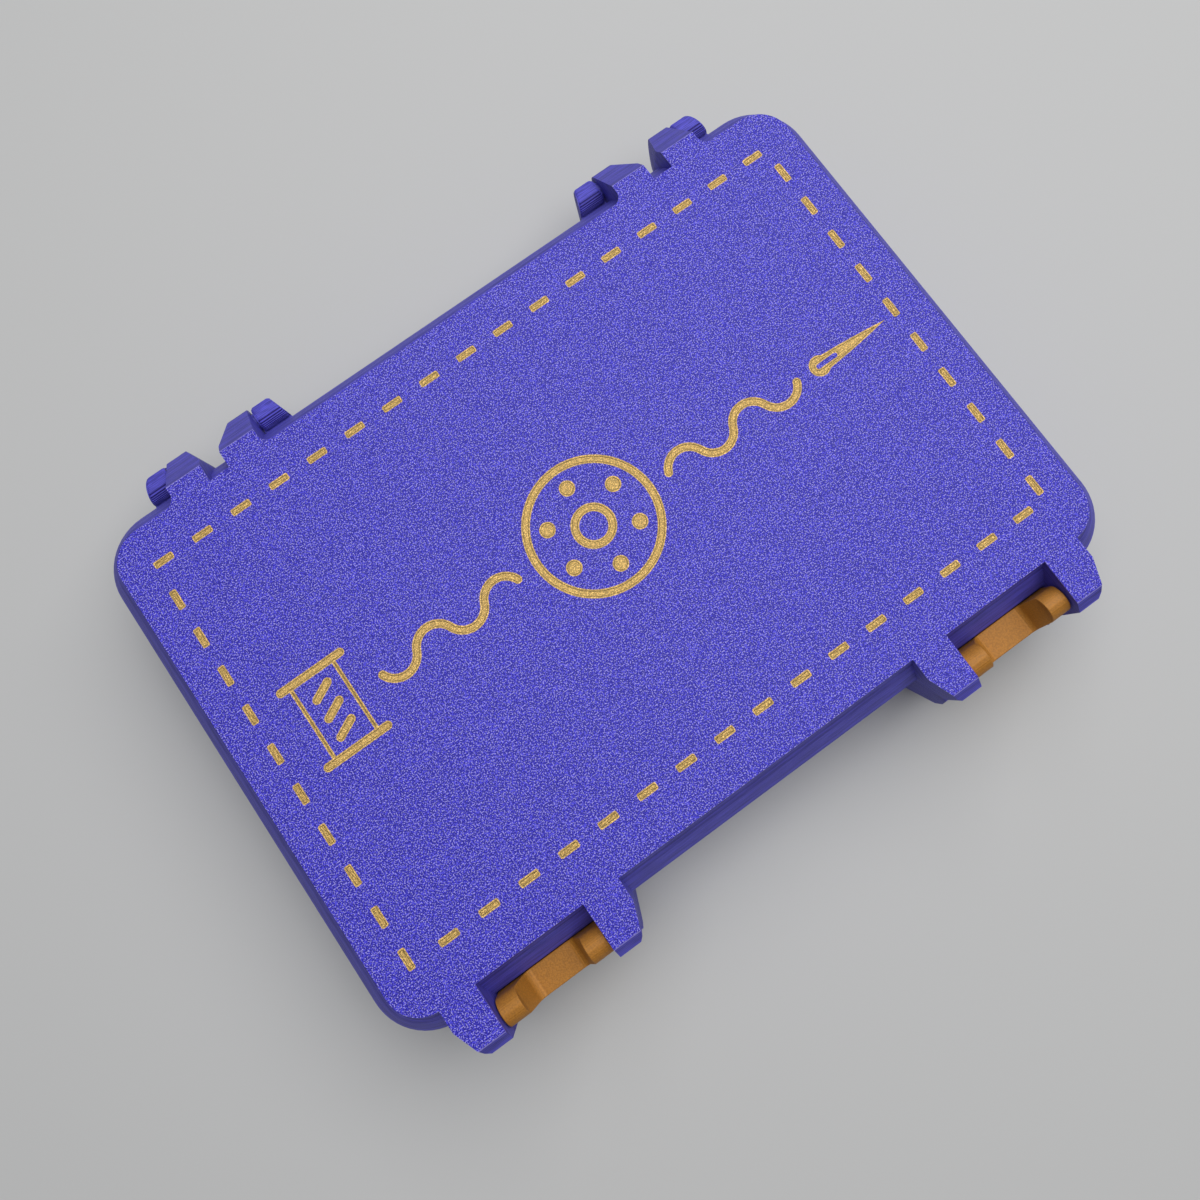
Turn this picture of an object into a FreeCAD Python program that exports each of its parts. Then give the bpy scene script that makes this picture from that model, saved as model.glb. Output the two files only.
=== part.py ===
import FreeCAD, Part
import math
import os
from types import SimpleNamespace

import Sketcher

# Hinged hard case for sewing machine bobbins. Millimetres, +X along the case, +Y towards
# the hinges, +Z up, with the origin under the middle of the case on its resting face.

# Driving dimensions: name, value, meaning
SIZES = [
    ("case_length", 157.0, "widest outline, at the flange, along X"),
    ("case_depth", 107.2, "widest outline, at the flange, along Y"),
    ("case_corner", 10.7, "corner radius of the widest outline"),
    ("base_height", 19.8, "base, from its resting face to the seam"),
    ("lid_height", 10.2, "lid, from the seam to its top face"),
    ("seam_gap", 0.2, "line between the closed lid and the base"),
    ("wall", 3.0, "side walls"),
    ("floor_thickness", 2.0, "bottom of the base"),
    ("lid_thickness", 2.4, "top plate of the lid"),
    ("flange_height", 2.7, "upright face of each flange"),
    ("overhang", 2.45, "how far the flanges stand out from the walls"),
    ("base_slope", 4.1, "height of the slope under the base flange"),
    ("band_run", 1.0, "width of the light band round the lid"),
    ("band_drop", 0.9, "height of the light band round the lid"),
    ("rim_run", 0.8, "lean of the steep rim under the lid's top face"),
    ("rim_drop", 2.5, "height of the steep rim under the lid's top face"),
    ("foot_run", 1.2, "width of the bevel round the resting face"),
    ("foot_rise", 1.6, "height of the bevel round the resting face"),
    ("lip_height", 1.5, "aligning lip that stands up inside the lid"),
    ("lip_width", 1.4, "thickness of the aligning lip"),
    ("lip_clearance", 0.3, "free space round the aligning lip"),
    ("fitting_inset", 28.8, "middle of a latch or hinge from the end of the case"),
    ("side_gap", 0.3, "free space at each side of a turning part"),
    ("pivot_clearance", 0.1, "free space round a pivot stub in its dimple"),
    ("stub_length", 1.5, "how far a pivot stub stands out"),
    ("stub_lean", 0.9, "how much thinner a pivot stub is at its tip"),
    ("root", 4.9, "how far ears and ribs reach into the walls"),
    ("hinge_reach", 4.0, "from the back of the flange to the hinge axis"),
    ("hinge_radius", 3.0, "round ends of the lid's hinge ribs"),
    ("lug_radius", 2.7, "round ends of the base's hinge lugs"),
    ("hinge_stub_radius", 1.8, "hinge pivot stub at its foot"),
    ("rib_slope", 49.0, "slope of the lid's hinge ribs, degrees"),
    ("rib_inner", 2.1, "from the middle of a hinge to a rib"),
    ("rib_outer", 9.4, "from the middle of a hinge to the outside of a rib"),
    ("rib_slant", 2.8, "narrowing of a rib on its inner side"),
    ("rib_taper", 0.4, "narrowing of a rib on its outer side"),
    ("rib_fillet", 2.0, "fillet where the outer side of a rib meets the lid's top edge"),
    ("lug_width", 6.3, "hinge lug of the base, at the wall"),
    ("lug_slant", 2.3, "narrowing of a hinge lug on its outer side"),
    ("lug_slope", 45.0, "slope under the hinge lugs, degrees"),
    ("ear_inner", 11.0, "from the middle of a latch to an ear"),
    ("ear_width", 7.3, "thickness of an ear"),
    ("ear_narrowing", 21.0, "lean of an ear's outer side seen from above, degrees"),
    ("ear_reach", 6.6, "from the front of the flange to the front of a lid ear"),
    ("ear_clip", 0.8, "clipped front corners of an ear"),
    ("ear_chamfer", 2.0, "bevel along the top front edge of a lid ear"),
    ("ear_flare", 1.6, "how far a base ear leans out below the lid ear"),
    ("ear_flare_drop", 8.5, "where a base ear stands out most, below the seam"),
    ("ear_foot", 1.2, "bevel at the foot of a base ear"),
    ("latch_gap", 0.3, "free space between the flange and a latch"),
    ("latch_radius", 2.6, "round knuckles at the top of a latch"),
    ("latch_axis_drop", 4.3, "latch pivot below the lid's top face"),
    ("latch_stub_radius", 1.5, "latch pivot stub at its foot"),
    ("latch_lean", 0.8, "how far the front of a latch leans out"),
    ("latch_length", 18.7, "latch, from its pivot to its lower end"),
    ("latch_neck", 4.4, "height of the rear face under a latch pivot"),
    ("latch_plate", 3.0, "thickness of the latch's plate"),
    ("tab_flare", 1.1, "how far the finger tab stands out at the lower end"),
    ("tab_height", 5.2, "height of the finger tab"),
    ("nose_drop", 10.4, "tip of the snap nose below the latch pivot"),
    ("nose_height", 1.5, "height of the snap nose"),
    ("nose_gap", 0.3, "free space between the snap nose and the catch"),
    ("catch_reach", 1.4, "how far the catch stands out from the flange"),
    ("catch_drop", 1.0, "top of the catch below the seam"),
    ("catch_height", 2.2, "height of the catch"),
    ("notch_top_width", 13.4, "latch notch between the arms, at the top"),
    ("notch_floor_width", 9.8, "latch notch between the arms, at its floor"),
    ("notch_slant", 5.1, "height of the slanting sides of the notch"),
    ("notch_floor_drop", 4.3, "floor of the notch below the latch pivot"),
    ("notch_fillet", 1.5, "fillet where the notch floor meets an arm"),
    ("bobbin_diameter", 20.5, "class 15 bobbin"),
    ("bobbin_width", 11.7, "class 15 bobbin"),
    ("bobbin_clearance", 0.4, "free space round a bobbin"),
    ("bobbin_side_clearance", 0.25, "free space at each side of a bobbin"),
    ("fin", 1.2, "fins between the bobbins"),
    ("trough_floor", 1.2, "rack under the bobbins"),
    ("ridge", 1.5, "rack between two rows"),
    ("rack_height", 12.0, "whole height of the rack"),
    ("rack_clearance", 0.4, "free space round the rack"),
    ("end_wall", 3.0, "rack beyond the ends of a row, at least"),
    ("side_wall", 1.5, "rack beyond the outer rows, at least"),
    ("channel_width", 12.0, "open middle of a row, between the fins"),
    ("channel_floor", 2.8, "bottom of the open middle, above the rack's underside"),
    ("grip_radius", 5.0, "finger scoops at the ends of the rack"),
    ("grip_floor", 4.0, "bottom of the finger scoops, above the rack's underside"),
    ("inlay_depth", 0.6, "gold inlay in the lid's top face"),
    ("dash_pitch", 8.2, "running stitch"),
    ("dash_length", 3.95, "one dash"),
    ("dash_width", 1.4, "one dash"),
    ("dash_corner", 0.35, "corner radius of a dash"),
    ("stitch_side_inset", 6.35, "line of stitches from the ends of the top face"),
    ("stitch_back_inset", 7.6, "line of stitches from the back of the top face"),
    ("stitch_front_inset", 8.6, "line of stitches from the front of the top face"),
    ("back_start", 1.7, "first dash of the back row, from its left corner"),
    ("right_start", 5.7, "first dash of the right row, from its back corner"),
    ("front_start", 5.0, "first dash of the front row, from its right corner"),
    ("left_start", 1.25, "first dash of the left row, from its front corner"),
    ("stroke", 1.6, "width of the lines of the motif"),
    ("motif_shift", 2.0, "middle of the motif behind the middle of the lid"),
    ("bobbin_ring", 13.0, "outer radius of the drawn bobbin"),
    ("hub_ring", 4.2, "outer radius of the drawn bobbin's hub"),
    ("dot_circle", 8.3, "radius on which the drawn bobbin's dots lie"),
    ("dot_radius", 1.5, "one dot of the drawn bobbin"),
    ("dots", 6, "dots of the drawn bobbin"),
    ("wave_start", 16.5, "start of a drawn thread, from the middle"),
    ("half_wave", 7.2, "length of half a wave of a drawn thread"),
    ("wave_height", 2.4, "height of a wave of a drawn thread"),
    ("spool_gap", 3.2, "between a drawn thread and the drawn spool or needle"),
    ("spool_width", 14.0, "drawn spool, across its rims"),
    ("spool_height", 17.0, "drawn spool, over its rims"),
    ("spool_waist", 9.6, "drawn spool, across its thread"),
    ("windings", 3, "slanting lines of thread on the drawn spool"),
    ("winding_rise", 1.6, "rise of one slanting line"),
    ("needle_length", 17.0, "drawn needle"),
    ("motif_margin", 1.5, "between the drawn needle and the border, at least"),
    ("needle_width", 3.0, "drawn needle at its widest"),
    ("eye_length", 4.6, "slot of the drawn needle's eye"),
    ("eye_width", 0.9, "slot of the drawn needle's eye"),
]


class Size:
    """A size that carries its value together with the sheet expression that gives it."""

    def __init__(self, value, text):
        self.value = value
        self.text = text

    def __add__(self, other):
        other = as_size(other)
        return Size(self.value + other.value, f"({self.text} + {other.text})")

    def __sub__(self, other):
        other = as_size(other)
        return Size(self.value - other.value, f"({self.text} - {other.text})")

    def __mul__(self, other):
        other = as_size(other)
        return Size(self.value * other.value, f"({self.text} * {other.text})")

    def __truediv__(self, other):
        other = as_size(other)
        return Size(self.value / other.value, f"({self.text} / {other.text})")

    def __radd__(self, other):
        return as_size(other) + self

    def __rsub__(self, other):
        return as_size(other) - self

    def __rmul__(self, other):
        return as_size(other) * self

    def __neg__(self):
        return Size(-self.value, f"(-1 * {self.text})")


def as_size(amount):
    if isinstance(amount, Size):
        return amount
    return Size(float(amount), f"{amount}")


def sine(angle):
    return Size(math.sin(math.radians(angle.value)), f"sin({angle.text})")


def cosine(angle):
    return Size(math.cos(math.radians(angle.value)), f"cos({angle.text})")


def tangent(angle):
    return Size(math.tan(math.radians(angle.value)), f"tan({angle.text})")


def lean(run, rise):
    """Angle from upright of a face that goes out by run over rise."""
    angle = math.degrees(math.atan2(run.value, rise.value))
    return Size(angle, f"atan({run.text} / {rise.text})")


def whole(amount):
    return Size(math.floor(amount.value), f"floor({amount.text})")


doc = FreeCAD.newDocument("bobbin_case")
sheet = doc.addObject("Spreadsheet::Sheet", "Sizes")
d = SimpleNamespace()
for row, (alias, amount, meaning) in enumerate(SIZES, start=1):
    sheet.set(f"A{row}", meaning)
    sheet.set(f"B{row}", str(amount))
    sheet.setAlias(f"B{row}", alias)
    setattr(d, alias, Size(amount, f"Sizes.{alias}"))
doc.recompute()

# Levels and faces that several pieces share
seam = d.base_height
lid_seam = seam + d.seam_gap
top = seam + d.lid_height
flange_top = seam + d.flange_height
flange_foot = seam - d.flange_height
lid_slope = d.lid_height - d.flange_height - d.band_drop - d.rim_drop
face_inset = d.overhang + d.band_run + d.rim_run
cavity_inset = d.overhang + d.wall
lip_inset = cavity_inset - d.lip_width
back = d.case_depth / 2
front = -back
wall_back = back - d.overhang
wall_front = -wall_back
fitting_x = d.case_length / 2 - d.fitting_inset
hinge_y = back + d.hinge_reach
lug_inner = d.rib_outer + d.side_gap
latch_y = front - d.latch_gap - d.latch_radius
latch_z = top - d.latch_axis_drop
latch_half = d.ear_inner - d.side_gap
sides = (-1, 1)


def bind(thing, prop, amount):
    thing.setExpression(prop, as_size(amount).text)


def new_body(name):
    body = doc.addObject("PartDesign::Body", name)
    body.Label = name
    return body


def new_sketch(body, name, role, x=0, y=0, height=0):
    """Sketch on one of the body's origin planes, shifted in it and lifted off it."""
    sketch = body.newObject("Sketcher::SketchObject", name)
    planes = [item for item in body.Origin.OriginFeatures if item.Role == role]
    sketch.AttachmentSupport = [(planes[0], "")]
    sketch.MapMode = "FlatFace"
    for axis, amount in (("x", x), ("y", y), ("z", height)):
        bind(sketch, f"AttachmentOffset.Base.{axis}", amount)
    return sketch


def draw(sketch, corners, arcs=None):
    """Closed outline through the corners. Each entry of arcs gives, for the corner where
    an arc starts, the arc's centre, its radius and whether it turns anticlockwise."""
    arcs = arcs or {}
    corners = [(as_size(x), as_size(y)) for x, y in corners]
    ends = []
    for i, (x, y) in enumerate(corners):
        next_x, next_y = corners[(i + 1) % len(corners)]
        start = FreeCAD.Vector(x.value, y.value, 0)
        end = FreeCAD.Vector(next_x.value, next_y.value, 0)
        if i not in arcs:
            index = sketch.addGeometry(Part.LineSegment(start, end))
            ends.append((index, 1, 2))
            continue
        centre_x, centre_y, radius, anticlockwise = arcs[i]
        centre = FreeCAD.Vector(as_size(centre_x).value, as_size(centre_y).value, 0)
        first, last = (start, end) if anticlockwise else (end, start)
        angles = [math.atan2(p.y - centre.y, p.x - centre.x) for p in (first, last)]
        circle = Part.Circle(centre, FreeCAD.Vector(0, 0, 1), as_size(radius).value)
        index = sketch.addGeometry(Part.ArcOfCircle(circle, angles[0], angles[1]))
        ends.append((index, 1, 2) if anticlockwise else (index, 2, 1))
        level = abs(end.x - start.x) > abs(end.y - start.y)
        kind, amount = ("DistanceY", centre_y) if level else ("DistanceX", centre_x)
        rule = Sketcher.Constraint(kind, index, 3, as_size(amount).value)
        bind(sketch, f"Constraints[{sketch.addConstraint(rule)}]", amount)
    for i, (x, y) in enumerate(corners):
        index, start, _ = ends[i]
        before, _, end = ends[i - 1]
        sketch.addConstraint(Sketcher.Constraint("Coincident", before, end, index, start))
        for kind, amount in (("DistanceX", x), ("DistanceY", y)):
            rule = Sketcher.Constraint(kind, index, start, amount.value)
            bind(sketch, f"Constraints[{sketch.addConstraint(rule)}]", amount)


def draw_circle(sketch, x, y, radius):
    x, y, radius = as_size(x), as_size(y), as_size(radius)
    centre = FreeCAD.Vector(x.value, y.value, 0)
    circle = Part.Circle(centre, FreeCAD.Vector(0, 0, 1), radius.value)
    index = sketch.addGeometry(circle)
    rules = (
        (Sketcher.Constraint("Radius", index, radius.value), radius),
        (Sketcher.Constraint("DistanceX", index, 3, x.value), x),
        (Sketcher.Constraint("DistanceY", index, 3, y.value), y),
    )
    for rule, amount in rules:
        bind(sketch, f"Constraints[{sketch.addConstraint(rule)}]", amount)


def draw_rounded(sketch, length, depth, radius, x=0, y=0):
    """Rectangle with round corners about the point x, y."""
    x, y = as_size(x), as_size(y)
    right, left = x + length / 2, x - length / 2
    rear, fore = y + depth / 2, y - depth / 2
    corners = [
        (right - radius, fore), (right, fore + radius),
        (right, rear - radius), (right - radius, rear),
        (left + radius, rear), (left, rear - radius),
        (left, fore + radius), (left + radius, fore),
    ]
    arcs = {
        0: (right - radius, fore + radius, radius, True),
        2: (right - radius, rear - radius, radius, True),
        4: (left + radius, rear - radius, radius, True),
        6: (left + radius, fore + radius, radius, True),
    }
    draw(sketch, corners, arcs)


def outline(body, name, inset, height):
    """The case's outline, drawn in by inset, at a height above the resting face."""
    sketch = new_sketch(body, name, "XY_Plane", height=height)
    draw_rounded(
        sketch,
        d.case_length - 2 * inset,
        d.case_depth - 2 * inset,
        d.case_corner - inset,
    )
    return sketch


def feature(body, kind, name, sketch, length, reverse=False, taper=None):
    item = body.newObject(f"PartDesign::{kind}", name)
    item.Profile = sketch
    item.Reversed = reverse
    bind(item, "Length", length)
    if taper is not None:
        bind(item, "TaperAngle", taper)
    return item


def pad(body, name, sketch, length, reverse=False, taper=None):
    return feature(body, "Pad", name, sketch, length, reverse, taper)


def pocket(body, name, sketch, length, reverse=False):
    return feature(body, "Pocket", name, sketch, length, reverse)


def turned(body, kind, name, sketch):
    """Revolution or Groove of the sketch, once round the sketch's own level axis."""
    item = body.newObject(f"PartDesign::{kind}", name)
    item.Profile = sketch
    item.ReferenceAxis = (sketch, ["H_Axis"])
    item.Angle = 360
    return item


def side_cut(body, name, corners, arcs=None):
    """Cuts a shape seen from the end of the case, in Y and Z, along the whole case."""
    half = d.case_length / 2
    sketch = new_sketch(body, f"{name}_profile", "YZ_Plane", height=half)
    draw(sketch, corners, arcs)
    return pocket(body, name, sketch, d.case_length)


def ear_plan(body, name, reach, height):
    """The four ears of the two latches, seen from above."""
    sketch = new_sketch(body, name, "XY_Plane", height=height)
    rear = front + d.root
    fore = front - reach
    narrowing = (reach - d.ear_clip) * tangent(d.ear_narrowing)
    for case_side in sides:
        middle = case_side * fitting_x
        for hand in sides:
            inner = middle + hand * d.ear_inner
            outer = inner + hand * d.ear_width
            tip = outer - hand * narrowing
            draw(sketch, [
                (inner, rear), (outer, rear), (outer, front), (tip, fore + d.ear_clip),
                (tip - hand * d.ear_clip, fore), (inner, fore),
            ])
    return sketch


def hinge_plan(body, name, inner, outer, slants, root, radius, height, fillet=None):
    """The four ribs or lugs of the two hinges, seen from above. They reach into the wall
    by root and narrow by the inner and the outer of the slants. A fillet leads from the
    top edge of the case's outline to their outer sides."""
    inner_slant, outer_slant = slants
    sketch = new_sketch(body, name, "XY_Plane", height=height)
    fore = back - root
    bend = hinge_y - radius
    rear = hinge_y + radius
    edge = back - face_inset
    for case_side in sides:
        middle = case_side * fitting_x
        for hand in sides:
            near = middle + hand * inner
            far = middle + hand * outer
            corners = [
                (near + hand * inner_slant, rear), (near, bend), (near, fore), (far, fore),
                (far, bend - d.hinge_reach / 2), (far - hand * outer_slant, rear),
            ]
            arcs = {}
            if fillet is not None:
                wide = far + hand * fillet
                corners[3:4] = [(wide, fore), (wide, edge), (far, edge + fillet)]
                arcs[4] = (wide, edge + fillet, fillet, hand < 0)
            draw(sketch, corners, arcs)
    return sketch


def cones(sketch, face, radius, depth, sunk=0):
    """Half sections of cones about the sketch's level axis, one at each side of each
    fitting. Each starts sunk below its face, stands outwards and leans as a stub does."""
    for case_side in sides:
        middle = case_side * fitting_x
        for hand in sides:
            bottom = middle + hand * (face - sunk)
            foot = middle + hand * face
            tip = foot + hand * depth
            thin = radius - d.stub_lean * depth / d.stub_length
            corners = [(bottom, 0), (bottom, radius), (foot, radius), (tip, thin), (tip, 0)]
            draw(sketch, corners)


def dimples(body, name, y, z, face, radius):
    """Blind holes for stubs whose feet lie side_gap short of the face."""
    sketch = new_sketch(body, f"{name}_profile", "XY_Plane", y=y, height=z)
    thinned = radius - d.stub_lean * d.side_gap / d.stub_length
    depth = d.stub_length - d.side_gap / 2
    cones(sketch, face, thinned + d.pivot_clearance, depth, d.pivot_clearance)
    return turned(body, "Groove", name, sketch)


def slope_start(radius, slope, upwards):
    """Where a slope at the given angle touches a round end about the hinge axis."""
    return hinge_y + radius * sine(slope), seam + upwards * radius * cosine(slope)


# Base shell: resting face, walls, flange and aligning lip
base = new_body("base_shell")
pad(base, "foot", outline(base, "foot_outline", d.overhang, d.foot_rise),
    d.foot_rise, reverse=True, taper=-lean(d.foot_run, d.foot_rise))
pad(base, "walls", outline(base, "walls_outline", d.overhang, d.foot_rise),
    flange_foot - d.foot_rise)
pad(base, "flange_slope", outline(base, "slope_outline", 0, flange_foot),
    d.base_slope, reverse=True, taper=-lean(d.overhang, d.base_slope))
pad(base, "flange", outline(base, "flange_outline", 0, flange_foot), d.flange_height)
pad(base, "lip", outline(base, "lip_outline", lip_inset, seam), d.lip_height)
pocket(base, "tray", outline(base, "tray_outline", cavity_inset, seam + d.lip_height),
       seam + d.lip_height - d.floor_thickness)

# Base ears: they lean out below the lid's ears and end in a slope down to the foot
ears_plan = ear_plan(base, "ears_plan", d.ear_reach + d.ear_flare, d.foot_rise)
pad(base, "ears", ears_plan, seam - d.foot_rise)
flare_z = seam - d.ear_flare_drop
flare_y = front - d.ear_reach - d.ear_flare
foot_y = flare_y + d.ear_foot
foot_z = flare_z - d.ear_foot
outside = flare_y - d.wall
side_cut(base, "ear_slopes", [
    (front - d.ear_reach, seam), (flare_y, flare_z), (foot_y, foot_z),
    (wall_front, d.foot_rise), (wall_front, -d.wall), (outside, -d.wall), (outside, seam),
])

# Catches: a ridge between the two base ears of each latch
catch_y = front - d.catch_reach
catch_top = seam - d.catch_drop
catch_foot = catch_top - d.catch_height
catch_root = front + d.overhang
for label, case_side in (("left_catch", -1), ("right_catch", 1)):
    start = case_side * fitting_x - d.ear_inner
    ridge = new_sketch(base, f"{label}_profile", "YZ_Plane", height=start)
    draw(ridge, [
        (front, catch_top), (catch_y, catch_top - d.catch_height / 3), (catch_y, catch_foot),
        (front, catch_foot), (catch_root, catch_foot), (catch_root, catch_top),
    ])
    pad(base, label, ridge, 2 * d.ear_inner)

# Hinge lugs: round about the hinge axis, with a slope down to the wall
lug_outer = lug_inner + d.lug_width
lugs_plan = hinge_plan(
    base, "lugs_plan", lug_inner, lug_outer, (0, d.lug_slant), lip_inset, d.lug_radius,
    d.foot_rise,
)
pad(base, "lugs", lugs_plan, seam + d.lug_radius - d.foot_rise)
lug_y, lug_z = slope_start(d.lug_radius, d.lug_slope, -1)
lug_foot = lug_z - (lug_y - wall_back) * tangent(d.lug_slope)
behind = hinge_y + d.hinge_radius + d.wall
lug_root = back - lip_inset
side_cut(base, "lug_slopes", [
    (lug_root, seam), (hinge_y - d.lug_radius, seam), (lug_y, lug_z),
    (wall_back, lug_foot), (wall_back, -d.wall), (behind, -d.wall), (behind, top),
    (lug_root, top),
], {1: (hinge_y, seam, d.lug_radius, False)})
dimples(base, "hinge_dimples", hinge_y, seam, lug_inner, d.hinge_stub_radius)

# Lid: flange, slope, light band, steep rim and hollow, before the inlays are cut in
lid = new_body("lid_blank")
pad(lid, "flange_of_lid", outline(lid, "lid_flange_outline", 0, lid_seam),
    flange_top - lid_seam)
pad(lid, "lid_slope", outline(lid, "lid_slope_outline", 0, flange_top),
    lid_slope, taper=-lean(d.overhang, lid_slope))
band_foot = flange_top + lid_slope
pad(lid, "light_band", outline(lid, "band_outline", d.overhang, band_foot),
    d.band_drop, taper=-lean(d.band_run, d.band_drop))
rim_foot = band_foot + d.band_drop
pad(lid, "rim", outline(lid, "rim_outline", d.overhang + d.band_run, rim_foot),
    d.rim_drop, taper=-lean(d.rim_run, d.rim_drop))
pad(lid, "lid_ears", ear_plan(lid, "lid_ears_plan", d.ear_reach, lid_seam), top - lid_seam)
chamfer_y = front - d.ear_reach + d.ear_chamfer
side_cut(lid, "ear_chamfer", [
    (chamfer_y, top), (front - d.ear_reach, top - d.ear_chamfer),
    (outside, top - d.ear_chamfer), (outside, top + d.wall), (chamfer_y, top + d.wall),
])
ribs_plan = hinge_plan(
    lid, "ribs_plan", d.rib_inner, d.rib_outer, (d.rib_slant, d.rib_taper), d.root,
    d.hinge_radius, seam - d.hinge_radius, d.rib_fillet,
)
pad(lid, "ribs", ribs_plan, top - seam + d.hinge_radius)
rib_y, rib_z = slope_start(d.hinge_radius, d.rib_slope, 1)
rib_top = rib_y - (top - rib_z) / tangent(d.rib_slope)
knuckle_front = hinge_y - d.hinge_radius
inside = back - d.root - d.wall
below = flange_foot - d.hinge_radius
side_cut(lid, "rib_slopes", [
    (inside, lid_seam), (knuckle_front, lid_seam), (knuckle_front, seam), (rib_y, rib_z),
    (rib_top, top), (rib_top, top + d.wall), (behind, top + d.wall), (behind, below),
    (inside, below),
], {2: (hinge_y, seam, d.hinge_radius, True)})
pocket(lid, "hollow", outline(lid, "hollow_outline", cavity_inset, lid_seam),
       top - d.lid_thickness - lid_seam, reverse=True)
lip_room = lip_inset - d.lip_clearance
pocket(lid, "lip_rebate", outline(lid, "rebate_outline", lip_room, lid_seam),
       d.lip_height + d.lip_clearance - d.seam_gap, reverse=True)
stub_sketch = new_sketch(lid, "hinge_stub_profile", "XY_Plane", y=hinge_y, height=seam)
cones(stub_sketch, d.rib_outer, d.hinge_stub_radius, d.stub_length, d.rib_taper)
turned(lid, "Revolution", "hinge_stubs", stub_sketch)
dimples(lid, "latch_dimples", latch_y, latch_z, d.ear_inner, d.latch_stub_radius)

# Stitch border: dashes along the four sides of a rectangle in the lid's top face
stitch_right = d.case_length / 2 - face_inset - d.stitch_side_inset
stitch_left = -stitch_right
stitch_back = back - face_inset - d.stitch_back_inset
stitch_front = front + face_inset + d.stitch_front_inset
inlay_floor = top - d.inlay_depth
border = new_body("stitch_border")


def stitch_row(name, x, y, along_x, room, backwards):
    """One side of the border: the dashes that fit into the room beyond the first one."""
    sketch = new_sketch(border, f"{name}_dash", "XY_Plane", height=inlay_floor)
    length = d.dash_length if along_x else d.dash_width
    depth = d.dash_width if along_x else d.dash_length
    draw_rounded(sketch, length, depth, d.dash_corner, x, y)
    first = pad(border, f"{name}_first", sketch, d.inlay_depth)
    row = border.newObject("PartDesign::LinearPattern", f"{name}_row")
    row.Originals = [first]
    row.Direction = (sketch, ["H_Axis" if along_x else "V_Axis"])
    row.Reversed = backwards
    row.Mode = "Spacing"
    bind(row, "Offset", d.dash_pitch)
    bind(row, "Occurrences", whole(room / d.dash_pitch) + 1)
    border.Tip = row


first_x = stitch_left + d.back_start
stitch_row("back", first_x, stitch_back, True, stitch_right - first_x, False)
first_y = stitch_back - d.right_start
stitch_row("right", stitch_right, first_y, False, first_y - stitch_front, True)
first_x = stitch_right - d.front_start
stitch_row("front", first_x, stitch_front, True, first_x - stitch_left, True)
first_y = stitch_front + d.left_start
stitch_row("left", stitch_left, first_y, False, stitch_back - first_y, False)

# Thread motif: a bobbin seen from its end, a wavy thread to each side, a spool and a needle
m = SimpleNamespace(**{alias: amount for alias, amount, _ in SIZES})
motif_z = inlay_floor.value
motif_reach = stitch_right.value - m.dash_width / 2 - m.motif_margin
thread_room = motif_reach - m.needle_length - m.spool_gap - m.wave_start
half_waves = math.floor(thread_room / m.half_wave)
thread_end = m.wave_start + half_waves * m.half_wave


def point(x, y):
    return FreeCAD.Vector(x, y + m.motif_shift, motif_z)


def inlay(*wires):
    """A flat shape of the inlay's depth: the first wire is its edge, the rest are holes."""
    face = Part.Face(list(wires)) if len(wires) > 1 else Part.Face(wires[0])
    face.validate()
    return face.extrude(FreeCAD.Vector(0, 0, m.inlay_depth))


def circle(x, y, radius):
    return Part.Wire([Part.makeCircle(radius, point(x, y))])


def ring(radius):
    return inlay(circle(0, 0, radius), circle(0, 0, radius - m.stroke))


def line(x0, y0, x1, y1, width):
    """A straight line with round ends."""
    run, rise = x1 - x0, y1 - y0
    length = math.hypot(run, rise)
    along = (run / length * width / 2, rise / length * width / 2)
    across = (-along[1], along[0])
    a, b = point(x0 + across[0], y0 + across[1]), point(x1 + across[0], y1 + across[1])
    c, e = point(x1 - across[0], y1 - across[1]), point(x0 - across[0], y0 - across[1])
    far, near = point(x1 + along[0], y1 + along[1]), point(x0 - along[0], y0 - along[1])
    edges = [
        Part.LineSegment(a, b).toShape(), Part.Arc(b, far, c).toShape(),
        Part.LineSegment(c, e).toShape(), Part.Arc(e, near, a).toShape(),
    ]
    return Part.Wire(edges)


def thread(side):
    """A wavy line of equal arcs that meet without a kink, with round ends."""
    chord, rise, half = m.half_wave, m.wave_height, m.stroke / 2
    radius = (chord ** 2 / 4 + rise ** 2) / (2 * rise)
    steep = math.asin(chord / 2 / radius)
    upper, lower = [], []
    for i in range(half_waves):
        bulge = 1 if i % 2 == 0 else -1
        start = m.wave_start + i * chord
        middle = start + chord / 2
        centre = -bulge * (radius - rise)
        for edge, offset in ((upper, half), (lower, -half)):
            reach = radius + bulge * offset
            points = []
            for turn in (-steep, 0, steep):
                x = middle + reach * math.sin(turn)
                y = centre + bulge * reach * math.cos(turn)
                points.append(point(side * x, y))
            edge.append(Part.Arc(*points).toShape())
    last_bulge = 1 if half_waves % 2 == 1 else -1
    ends = (
        (m.wave_start, -math.cos(steep), -math.sin(steep), 0),
        (thread_end, math.cos(steep), -last_bulge * math.sin(steep), -1),
    )
    caps = []
    for x, along_x, along_y, place in ends:
        tip = point(side * (x + along_x * half), along_y * half)
        vertex = 0 if place == 0 else 1
        a = upper[place].Vertexes[vertex].Point
        b = lower[place].Vertexes[vertex].Point
        caps.append(Part.Arc(a, tip, b).toShape())
    edges = Part.__sortEdges__(upper + lower + caps)
    return inlay(Part.Wire(edges))


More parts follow.
